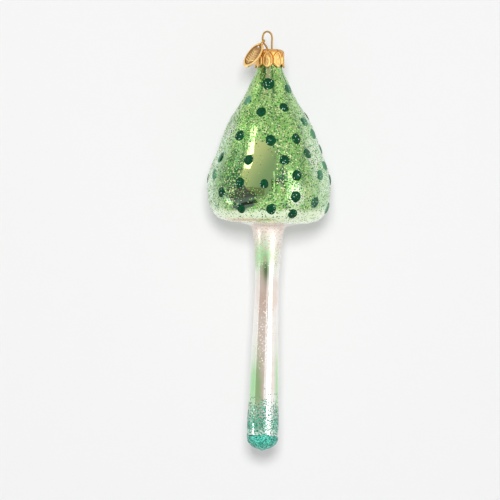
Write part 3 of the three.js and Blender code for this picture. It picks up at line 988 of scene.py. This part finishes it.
def petal_emboss(turn, depth):
    """How far the sheet stands out at a turn and a depth below the top."""
    side = from_petal(turn)
    below_notch = np.clip((depth - CAP_SKIRT) / PETAL_LENGTH, 0, 1)
    arch = np.sqrt(np.clip((depth - 1.1) / 2.6, 0, 1))
    width = np.minimum(arch, 1 - below_notch ** (1 / PETAL_POINT))
    edge = (width - side) * HALF_PETAL
    border = 0.2 * bell(edge, 0.5, 0.2)
    seam = -0.2 * bell(edge, 0.0, 0.2) * (1 - smoothstep(depth, CAP_SKIRT, CAP_SKIRT + 1))
    oval = np.hypot(side * HALF_PETAL / 0.66, (depth - 5.5) / 1.85)
    teardrop = 0.17 * bell(oval, 1.0, 0.3) + 0.13 * bell(oval, 0.0, 0.42)
    vein = 0.1 * bell(side * HALF_PETAL, 0.0, 0.14) * smoothstep(depth, 1.6, 3.2) * (oval > 1.2)
    return border + seam + teardrop + vein


def stamped(radius, turn, z):
    """The petalled cap's points, from the plain cup's."""
    side = from_petal(turn)
    reach = np.maximum(0.04, (1 - side) ** PETAL_POINT)
    tongue = np.minimum(0, z + CAP_SKIRT) * reach
    level = np.maximum(z, -CAP_SKIRT) + tongue
    on_wall = smoothstep(radius, CAP_RADIUS * 0.8, CAP_RADIUS * 0.93)
    dome = PETAL_BULGE * smoothstep(-z, 0, CAP_SKIRT) * (1 - 2 * side)
    flare = PETAL_FLARE * (tongue / PETAL_LENGTH) ** 2
    moved = radius + on_wall * (dome + flare + petal_emboss(turn, -level))
    # A low ring is rolled into the flat top, with a groove inside it
    ring = 0.09 * bell(radius, 4.1, 0.3) - 0.06 * bell(radius, 3.3, 0.4)
    height = level + ring * (1 - on_wall)
    points = np.stack([moved * np.sin(turn), -moved * np.cos(turn), height], axis=-1)
    return points + np.array([crown_axis.x, crown_axis.y, crown_top])


hole = Vector((math.cos(LOOP_TURN), math.sin(LOOP_TURN))) * HOLE_SPACING / 2
cap = cut_holes(turned(cup_profile(), CAP_STEPS), [-hole, hole], HOLE_RADIUS, 4 * SHEET)
x, y, z = corners(cap).T
# The relief drives painted light on the gold: a highlight on the embossing's ridges, shade in its
# hollows
relief = RELIEF_GROUND + petal_emboss(np.arctan2(x, -y), -z) * RELIEF_GAIN
reshape(cap, stamped)
cap_piece = finish_piece("petal_cap", cap, cap_gold, "hanger", "crown_cap")
set_values(cap_piece, "relief", relief)

# %% [markdown]
# ## Wires
#
# The hanger is one length of spring wire: a loop above the cap and two legs that spring apart in
# the glass neck. A curve with a round bevel is the simplest wire, and it is made a mesh at once so
# that its place is in its vertices.

# %% A round wire
WIRE = 0.8
WIRE_RELIEF = 0.62


def wire_piece(name, points, diameter, finish, body, node):
    """A round wire along points in millimetres, with closed ends."""
    curve = bpy.data.curves.new(name, "CURVE")
    curve.dimensions = "3D"
    curve.bevel_depth = diameter / 2
    curve.bevel_resolution = 5
    curve.use_fill_caps = True
    spline = curve.splines.new("POLY")
    spline.points.add(len(points) - 1)
    for place, point in zip(spline.points, points):
        place.co = (*point, 1)
    blank = bpy.data.objects.new(name + "_blank", curve)
    bpy.context.scene.collection.objects.link(blank)
    work = evaluated(blank)
    bpy.data.objects.remove(blank)
    bpy.data.curves.remove(curve)
    bmesh.ops.remove_doubles(work, verts=work.verts, dist=1e-4)
    bmesh.ops.recalc_face_normals(work, faces=work.faces)
    piece = finish_piece(name, work, finish, body, node)
    set_values(piece, "relief", np.full(len(piece.data.vertices), WIRE_RELIEF))


# %% The spring wire
LOOP_WIDTH = 5.6
LOOP_OFFSET = 1.13
LEG_LENGTH = 25.0
LEG_SPRING = 5.0
LEG_CLEARANCE = 0.3
LEG_REACH = NECK_RADIUS - WALL - LEG_CLEARANCE - WIRE / 2
HANGER_POINTS = 420


def hanger_points():
    """The wire's middle line, from one leg's tip over the loop to the other's."""
    loop_radius = (LOOP_WIDTH - WIRE) / 2
    loop_middle = WIRE / 2 - loop_radius
    shoulder = loop_middle - loop_radius * 0.8

    def leg(side):
        reach, hole = side * LEG_REACH, side * HOLE_SPACING / 2
        stations = [
            (reach * 0.93, -LEG_LENGTH), (reach, -LEG_LENGTH * 0.8), (reach, -LEG_LENGTH * 0.5),
            (reach, -LEG_SPRING * 1.25), ((reach + hole) / 2, -LEG_SPRING * 0.55),
            (hole, -SHEET), (hole - LOOP_OFFSET * 0.1, WIRE),
        ]
        return [(LOOP_OFFSET + out, crown_top + up) for out, up in stations]

    loop = [
        (loop_radius * math.cos(angle), loop_middle + loop_radius * math.sin(angle))
        for angle in map(math.radians, (180, 140, 110, 90, 70, 40, 0))
    ]
    flat = leg(-1) + [(-loop_radius * 0.93, shoulder)] + loop + [(loop_radius * 0.97, shoulder)]
    flat = np.array(flat + leg(1)[::-1])
    out, up = curve_through(flat, np.linspace(0, 1, HANGER_POINTS), spacing=0.5).T
    return np.stack([out * math.cos(LOOP_TURN), out * math.sin(LOOP_TURN), up], axis=-1)


wire_piece(
    "spring_hanger", hanger_points(), WIRE, wire_gold, "hanger", "wire_hanger"
)

# %% [markdown]
# The ring hangs on the wire's left leg and the tag on the ring. Their joints in the frame say where
# each turns, and the three angles of each say how it lies.

# %% Jump ring
joints = {joint["name"]: joint for joint in frame["joints"]}
ring_top = Vector(joints["ring_swing"]["pos_m"]) / MM
ring_foot = Vector(joints["tag_swing"]["pos_m"]) / MM
RING_WIRE = 0.56
RING_DIAMETER = 4.0
RING_SPLIT = 0.2
RING_SPLIT_ANGLE = math.radians(-25)


def hung(forward, lean_angle, turn):
    """The turn of a piece that hangs down and faces -Y: about Y, then X, then Z."""
    about_y = Matrix.Rotation(math.radians(lean_angle), 3, "Y")
    about_x = Matrix.Rotation(math.radians(forward), 3, "X")
    return about_y @ about_x @ Matrix.Rotation(math.radians(turn), 3, "Z")


ring_turned = hung(-29.6, 45.2, -12.3)
tag_turned = hung(-28.4, 32, -40)


def ring_points():
    radius = (RING_DIAMETER - RING_WIRE) / 2
    split = RING_SPLIT / radius
    angles = RING_SPLIT_ANGLE + split / 2 + np.linspace(0, math.tau - split, 90)
    flat = [Vector((0, radius * math.cos(a), radius * math.sin(a) - radius)) for a in angles]
    return [ring_turned @ point + ring_top for point in flat]


wire_piece("split_ring", ring_points(), RING_WIRE, ring_gold, "ring", "jump_ring")

# %% [markdown]
# ## The hang tag
#
# The tag is a small struck oval with a rounded rim. Such tags carry a relief: here it is a plain
# fir sprig on both faces, which belongs to the season and to nobody. The plate is turned, drawn out
# to an oval, punched and then pressed by a formula that sums the sprig's needles.

# %% The tag's sizes and its sprig
TAG_LENGTH = 14.0
TAG_WIDTH = 6.9
TAG_THICKNESS = 0.45
TAG_STEPS = 200
TAG_RING_GAP = 0.15
TAG_RIM_HEIGHT = 0.16
TAG_HOLE_RADIUS = 0.85
TAG_HOLE_EDGE = 0.9
TAG_HOLE_Y = TAG_LENGTH / 2 - TAG_HOLE_EDGE - TAG_HOLE_RADIUS
SPRIG_HEIGHT = 0.17
SPRIG_WIDTH = 0.2
NEEDLE_PAIRS = 6


def line_distance(x, y, start, end):
    """Distance from points to a straight line between two ends."""
    start, end = np.array(start), np.array(end)
    reach = end - start
    share = np.clip(((x - start[0]) * reach[0] + (y - start[1]) * reach[1]) / (reach @ reach), 0, 1)
    return np.hypot(x - start[0] - share * reach[0], y - start[1] - share * reach[1])


def sprig_relief(x, y):
    """Height of the fir sprig from 0 to 1 at points on the tag's face."""
    nearest = line_distance(x, y, (0, -4.6), (0, 2.6))
    for pair in range(NEEDLE_PAIRS):
        foot = -3.9 + pair * 1.05
        length = 2.1 - 0.2 * pair
        for side in (-1, 1):
            tip = (side * length, foot + 1.15)
            nearest = np.minimum(nearest, line_distance(x, y, (0, foot), tip))
    return np.exp(-((nearest / SPRIG_WIDTH) ** 2))


# %% The struck tag
def tag_profile():
    """(share of the radius, half thickness) from the back's middle over the rim to the front's."""
    field = [(share, TAG_THICKNESS / 2) for share in np.linspace(0, 0.78, 46)]
    rim = [
        (0.89 + 0.11 * math.sin(angle), TAG_THICKNESS / 2 + TAG_RIM_HEIGHT * math.cos(angle))
        for angle in map(math.radians, range(-80, 90, 10))
    ]
    edge = [(1.0, TAG_THICKNESS / 2 * share) for share in (0.6, 0.2)]
    half = field + rim + edge
    return [(out, -up) for out, up in half] + half[::-1]


def struck(radius, turn, z):
    """The oval tag in its place, from the turned plate's points."""
    x = radius * np.sin(turn) * TAG_WIDTH / 2
    y = -radius * np.cos(turn) * TAG_LENGTH / 2
    pressed = z + np.sign(z) * SPRIG_HEIGHT * sprig_relief(x, y) * (radius < 0.8)
    local = np.stack([x, -pressed, y - TAG_HOLE_Y], axis=-1)
    slack = (TAG_HOLE_RADIUS * 2 - RING_WIRE) / 2 - TAG_RING_GAP
    hang = tag_turned @ Vector((0, 0, -1)) * slack + ring_foot
    return local @ np.array(tag_turned).T + np.array(hang)


def plate_holes(work):
    """Punches the hole, which is round on the finished oval and so an oval on the round plate."""
    bmesh.ops.scale(work, vec=(TAG_WIDTH / 2, TAG_LENGTH / 2, 1), verts=work.verts)
    work = cut_holes(work, [(0, TAG_HOLE_Y)], TAG_HOLE_RADIUS, 4)
    bmesh.ops.scale(work, vec=(2 / TAG_WIDTH, 2 / TAG_LENGTH, 1), verts=work.verts)
    return work


tag = plate_holes(turned(tag_profile(), TAG_STEPS))
x, y, _ = corners(tag).T
from_middle = np.hypot(x, y)
sprig = sprig_relief(x * TAG_WIDTH / 2, y * TAG_LENGTH / 2)
# Painted light on the tag: a highlight on the sprig and the rim, painted shade in a line inside the
# rim
field_painted_light = 0.3 + 0.7 * sprig - 0.4 * bell(from_middle, 0.79, 0.04)
reshape(tag, struck)
tag_piece = finish_piece("oval_tag", tag, tag_gold, "tag", "hang_tag")
set_values(tag_piece, "relief", np.where(from_middle < 0.82, field_painted_light, 0.95))

# %% [markdown]
# ## Glitter
#
# Glitter is a dust of tiny foil plates that the wet lacquer holds at slightly different angles,
# which is why it sparkles. The finish above already speckles the glass, and real plates are strewn
# over it for their glint: each is a flat six-sided lozenge about 0.4 mm across. They are strewn by
# chance with a fixed seed, and more of them are kept where the glitter is dense.

# %% Foil
PLATE_SIZE = 0.4
PLATE_LIFT = 0.05
PLATE_TILT = 0.16
PLATE_DEPTH = 0.25


def foil(name, stops):
    """Foil plates whose colour is picked by each plate's tint."""
    finish = Finish(name, Metallic=0.35, Roughness=0.4)
    tint = finish.attribute("tint")
    finish.set(Base_Color=finish.node("ShaderNodeValToRGB", {"Fac": tint}, stops=stops))
    return finish


lime_foil = foil(
    "lime_foil",
    [
        (0.0, colour(16, 76, 40)),
        (0.45, colour(56, 130, 58)),
        (0.6, colour(126, 198, 88)),
        (0.88, colour(174, 222, 116)),
        (1.0, colour(230, 236, 180)),
    ],
)
teal_foil = foil(
    "teal_foil",
    [(0.0, colour(6, 96, 76)), (0.5, colour(16, 140, 112)), (1.0, colour(84, 216, 184))],
)


# %% Strewing plates on the glass
def plate_shape():
    """A closed six-sided lozenge of radius 1 and its faces."""
    work = bmesh.new()
    bmesh.ops.create_cone(
        work, cap_ends=True, cap_tris=True, segments=6, radius1=1, radius2=0, depth=PLATE_DEPTH
    )
    work.verts.ensure_lookup_table()
    faces = np.array([[vert.index for vert in face.verts] for face in work.faces])
    points = corners(work)
    work.free()
    return points, faces


def unit(vectors):
    return vectors / np.linalg.norm(vectors, axis=1, keepdims=True)


def plate_frames(run, turn, chance):
    """The middle of each plate, and three directions: two in its plane and one out of it."""
    step = 0.05
    middle = skin_point(run, turn, PLATE_LIFT)
    down = unit(skin_point(run + step, turn, PLATE_LIFT) - middle)
    beside = turn + step / np.maximum(on_outline(run)[0], 0.5)
    across = unit(skin_point(run, beside, PLATE_LIFT) - middle)
    tilt = chance.normal(0, PLATE_TILT, (2, len(run), 1))
    out = unit(np.cross(down, across) + tilt[0] * down + tilt[1] * across)
    spin = chance.uniform(0, math.tau, (len(run), 1))
    first = np.cos(spin) * down + np.sin(spin) * across
    first = unit(first - out * np.sum(out * first, axis=1, keepdims=True))
    return middle, np.stack([first, np.cross(out, first), out], axis=1)


def strew(name, finish, run, turn, size, seed, brighter=0.0):
    """One object of many plates on the glass, each with its own tint, brighter by some amount."""
    chance = np.random.default_rng(seed)
    middle, frames = plate_frames(run, turn, chance)
    radius = size / 2 * chance.uniform(0.7, 1.25, (len(run), 1, 1))
    shape, faces = plate_shape()
    points = (middle[:, None] + radius * (shape @ frames)) * MM
    faces = faces[None] + np.arange(len(run))[:, None, None] * len(shape)
    mesh = bpy.data.meshes.new(name)
    mesh.from_pydata(points.reshape(-1, 3).tolist(), [], faces.reshape(-1, 3).tolist())
    piece = add_object(name, mesh, finish)
    tints = np.clip(chance.random(len(run)) + brighter, 0, 1)
    set_values(piece, "tint", np.repeat(tints, len(shape)))
    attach(piece, "mushroom")
    print(name, len(run), "plates")


# %% Where the glitter fell
HEAD_PLATES = 8000
FOOT_PLATES = 1500
TRIES = 8


def strewn_places(count, run_range, density, seed):
    """Runs and turns of plates, evenly by area and then thinned by a density from 0 to 1."""
    chance = np.random.default_rng(seed)
    run = chance.uniform(*run_range, count * TRIES)
    turn = chance.uniform(-math.pi, math.pi, count * TRIES)
    radius, drop = on_outline(run)
    kept = chance.random(count * TRIES) < density(turn, drop) * radius / radius.max()
    return run[kept][:count], turn[kept][:count]


def head_density(turn, drop):
    """Dense all round, but sparse in the clear window, at the sides, the base and the neck."""
    clear = bell(turn, -0.06, 0.38) * bell(drop, 49.0, 14.0)
    clear = clear + 0.6 * bell(turn, -0.44, 0.24) * bell(drop, 68.0, 4.0)
    sides = smoothstep(np.abs(turn), 0.8, 1.3) * (1 - smoothstep(np.abs(turn), 1.7, 2.2))
    base = smoothstep(drop, HEAD_BASE - 4, HEAD_BASE - 10)
    neck = smoothstep(drop, 12, 24)
    spread = (0.25 + 0.75 * base) * (0.35 + 0.65 * neck) * (1 - 0.45 * sides)
    return (1 - 0.97 * smoothstep(clear, 0.3, 0.6)) * spread


def foot_density(turn, drop):
    """Denser downwards, with a thinner ring above the dip coat."""
    dust = smoothstep(drop, TIP - 24, TIP - 13)
    ring = 1 - 0.3 * bell(drop, TIP - DIP_HEIGHT - 1.6, 1.6)
    return dust * ring * (0.75 + 0.25 * np.sin(3 * turn))


head_range = (6.0, run_at_drop(HEAD_BASE - 0.6))
run, turn = strewn_places(HEAD_PLATES, head_range, head_density, seed=11)
low_sides = smoothstep(on_outline(run)[1], 54.0, 68.0) * smoothstep(np.abs(turn), 0.3, 0.8)
strew(
    "head_glitter", lime_foil, run, turn, PLATE_SIZE, 12,
    brighter=low_sides * 0.35,
)
foot_range = (run_at_drop(TIP - 26), run_at_drop(TIP - DIP_HEIGHT - 0.5))
run, turn = strewn_places(FOOT_PLATES, foot_range, foot_density, seed=13)
strew("foot_glitter", teal_foil, run, turn, PLATE_SIZE * 1.1, 14)

# %% [markdown]
# ## Backdrop and floor
#
# A white sheet hangs close behind, so that the soft shadow falls on it. In the photo this ground is
# an even pale grey and only the shadow is darker. So the paper is made rather dark, which keeps
# the shadow gentle, and it has a glow of its own, which only the camera and mirrors see. Sheet and
# floor have only one side, so that the ornament can be seen from behind and from below.

# %% The sheet and the floor
MIDDLE = Vector((0, 0, -90)) * MM
WALL_GAP = 31 * MM
FLOOR_DROP = 300 * MM
SHEET_SIZE = 1.6
PAPER_TONE = 0.58
BACKDROP_GLOW = 0.3
FLOOR_GLOW = 0.55
BLACK = (0, 0, 0, 1)


def glowing_paper(name, glow):
    """Matt paper that looks brighter than it is lit, and that shows only from its front."""
    finish = Finish(name, Base_Color=(PAPER_TONE, PAPER_TONE, PAPER_TONE, 1.0), Roughness=0.9)
    finish.set(Specular_IOR_Level=0.0, Emission_Strength=1.0)
    seen = finish.node("ShaderNodeLightPath", output="Is Camera Ray")
    mirrored = finish.node("ShaderNodeLightPath", output="Is Glossy Ray")
    finish.set(Emission_Color=finish.mix(seen + mirrored, BLACK, (glow, glow, glow, 1)))
    behind = finish.node("ShaderNodeNewGeometry", output="Backfacing")
    clear = finish.node("ShaderNodeBsdfTransparent")
    paper = Signal(finish, finish.surface.outputs[0])
    both = finish.node("ShaderNodeMixShader", {0: behind * seen, 1: paper, 2: clear})
    finish.tree.links.new(both.socket, finish.tree.nodes["Material Output"].inputs[0])
    return finish


def flat_sheet(name, size, place, turn, finish):
    """A rectangle of the studio, in its place and turned by a 3 by 3 matrix."""
    work = bmesh.new()
    bmesh.ops.create_grid(work, x_segments=1, y_segments=1, size=0.5)
    bmesh.ops.scale(work, vec=(*size, 1), verts=work.verts)
    placed = Matrix.Translation(place) @ turn.to_4x4()
    bmesh.ops.transform(work, matrix=placed, verts=work.verts)
    return add_object(name, as_mesh(name, work), finish)


for name, place, turn, glow in (
    ("backdrop", (0, WALL_GAP, -0.1), Matrix.Rotation(math.radians(90), 3, "X"), BACKDROP_GLOW),
    ("floor", (0, 0, MIDDLE.z - FLOOR_DROP), Matrix.Identity(3), FLOOR_GLOW),
):
    sheet = flat_sheet(name, (SHEET_SIZE, SHEET_SIZE), place, turn, glowing_paper(name, glow))
    print(name, "with a glow of", glow)

# %% [markdown]
# ## Light
#
# Shiny metal and glass look like what is around them, so the studio matters as much as the finish.
# A square soft box just above the camera lights the ornament and throws its shadow, with a little
# soft light from all round. All other lamps are there only for their reflections. A wide box to the
# right gives the white line down the stem, a small one up on the left the streak on the head, and
# one low on the left the glint near its base. Grey cards keep the left of the silver, the foot of
# the clear window and a line right of it dark.


# %% The world, the lamps and the cards
def studio_world(background, in_mirrors, soft_light):
    """One tone for the camera to see, one for reflections and one for soft light."""
    world = bpy.data.worlds.new("studio")
    world.use_nodes = True
    bpy.context.scene.world = world
    tree = world.node_tree
    path = tree.nodes.new("ShaderNodeLightPath")

    def tone(value):
        node = tree.nodes.new("ShaderNodeBackground")
        node.inputs["Color"].default_value = (value, value, value, 1)
        return node.outputs[0]

    def choose(ray, otherwise, when_ray):
        node = tree.nodes.new("ShaderNodeMixShader")
        for index, socket in enumerate((path.outputs[ray], otherwise, when_ray)):
            tree.links.new(socket, node.inputs[index])
        return node.outputs[0]

    light = choose("Is Glossy Ray", tone(soft_light), tone(in_mirrors))
    both = choose("Is Camera Ray", light, tone(background))
    tree.links.new(both, tree.nodes["World Output"].inputs["Surface"])


def aimed(place, target):
    """The turn that points -Z of a lamp or card from a place to a target."""
    return (Vector(target) - Vector(place)).to_track_quat("-Z", "Y")


def soft_box(name, place, target, size, power, in_mirrors=True, lights=True):
    """A rectangular lamp. It can be left out of reflections, or be only in them."""
    lamp = bpy.data.lights.new(name, "AREA")
    lamp.shape = "RECTANGLE"
    lamp.size, lamp.size_y = size
    lamp.energy = power
    box = bpy.data.objects.new(name, lamp)
    box.location = place
    box.rotation_mode = "QUATERNION"
    box.rotation_quaternion = aimed(place, target)
    box.visible_camera = False
    box.visible_glossy = in_mirrors
    box.visible_diffuse = lights
    bpy.context.scene.collection.objects.link(box)


def mirror_card(name, place, target, size, tone):
    """A card of an even tone that shows only in reflections."""
    finish = Finish(name, Base_Color=BLACK, Emission_Color=tone, Emission_Strength=1.0)
    finish.set(Specular_IOR_Level=0.0)
    card = flat_sheet(name, size, place, aimed(place, target).to_matrix(), finish)
    card.visible_camera = False
    card.visible_diffuse = False
    card.visible_shadow = False


# %% The studio, in metres and watts
HEAD_MIDDLE = (0, 0, -0.07)
studio_world(background=0.913, in_mirrors=0.93, soft_light=0.3)
soft_box("key_box", (0, -1.45, 0.145), MIDDLE, (0.28, 0.28), 16.4, in_mirrors=False)
soft_box("right_box", (0.5, -0.62, -0.1), MIDDLE, (0.5, 0.8), 2.2, lights=False)
soft_box("head_window", (-0.42, -0.256, 0.29), (0, 0, -0.055), (0.22, 0.15), 0.36, lights=False)
soft_box("low_window", (-0.53, -0.12, -0.25), HEAD_MIDDLE, (0.13, 0.13), 0.2, lights=False)
for name, place, target, size, tone in (
    ("left_card", (-0.5, -0.66, -0.14), (0, 0, -0.12), (1.2, 0.28), colour(200, 186, 178)),
    ("low_card", (-0.37, -0.36, -0.385), HEAD_MIDDLE, (0.46, 0.17), colour(104, 116, 104)),
    ("side_card", (0.16, -0.5, -0.03), HEAD_MIDDLE, (0.05, 0.16), colour(110, 122, 110)),
):
    mirror_card(name, place, target, size, tone)
print("lamps:", sorted(lamp.name for lamp in bpy.data.lights))
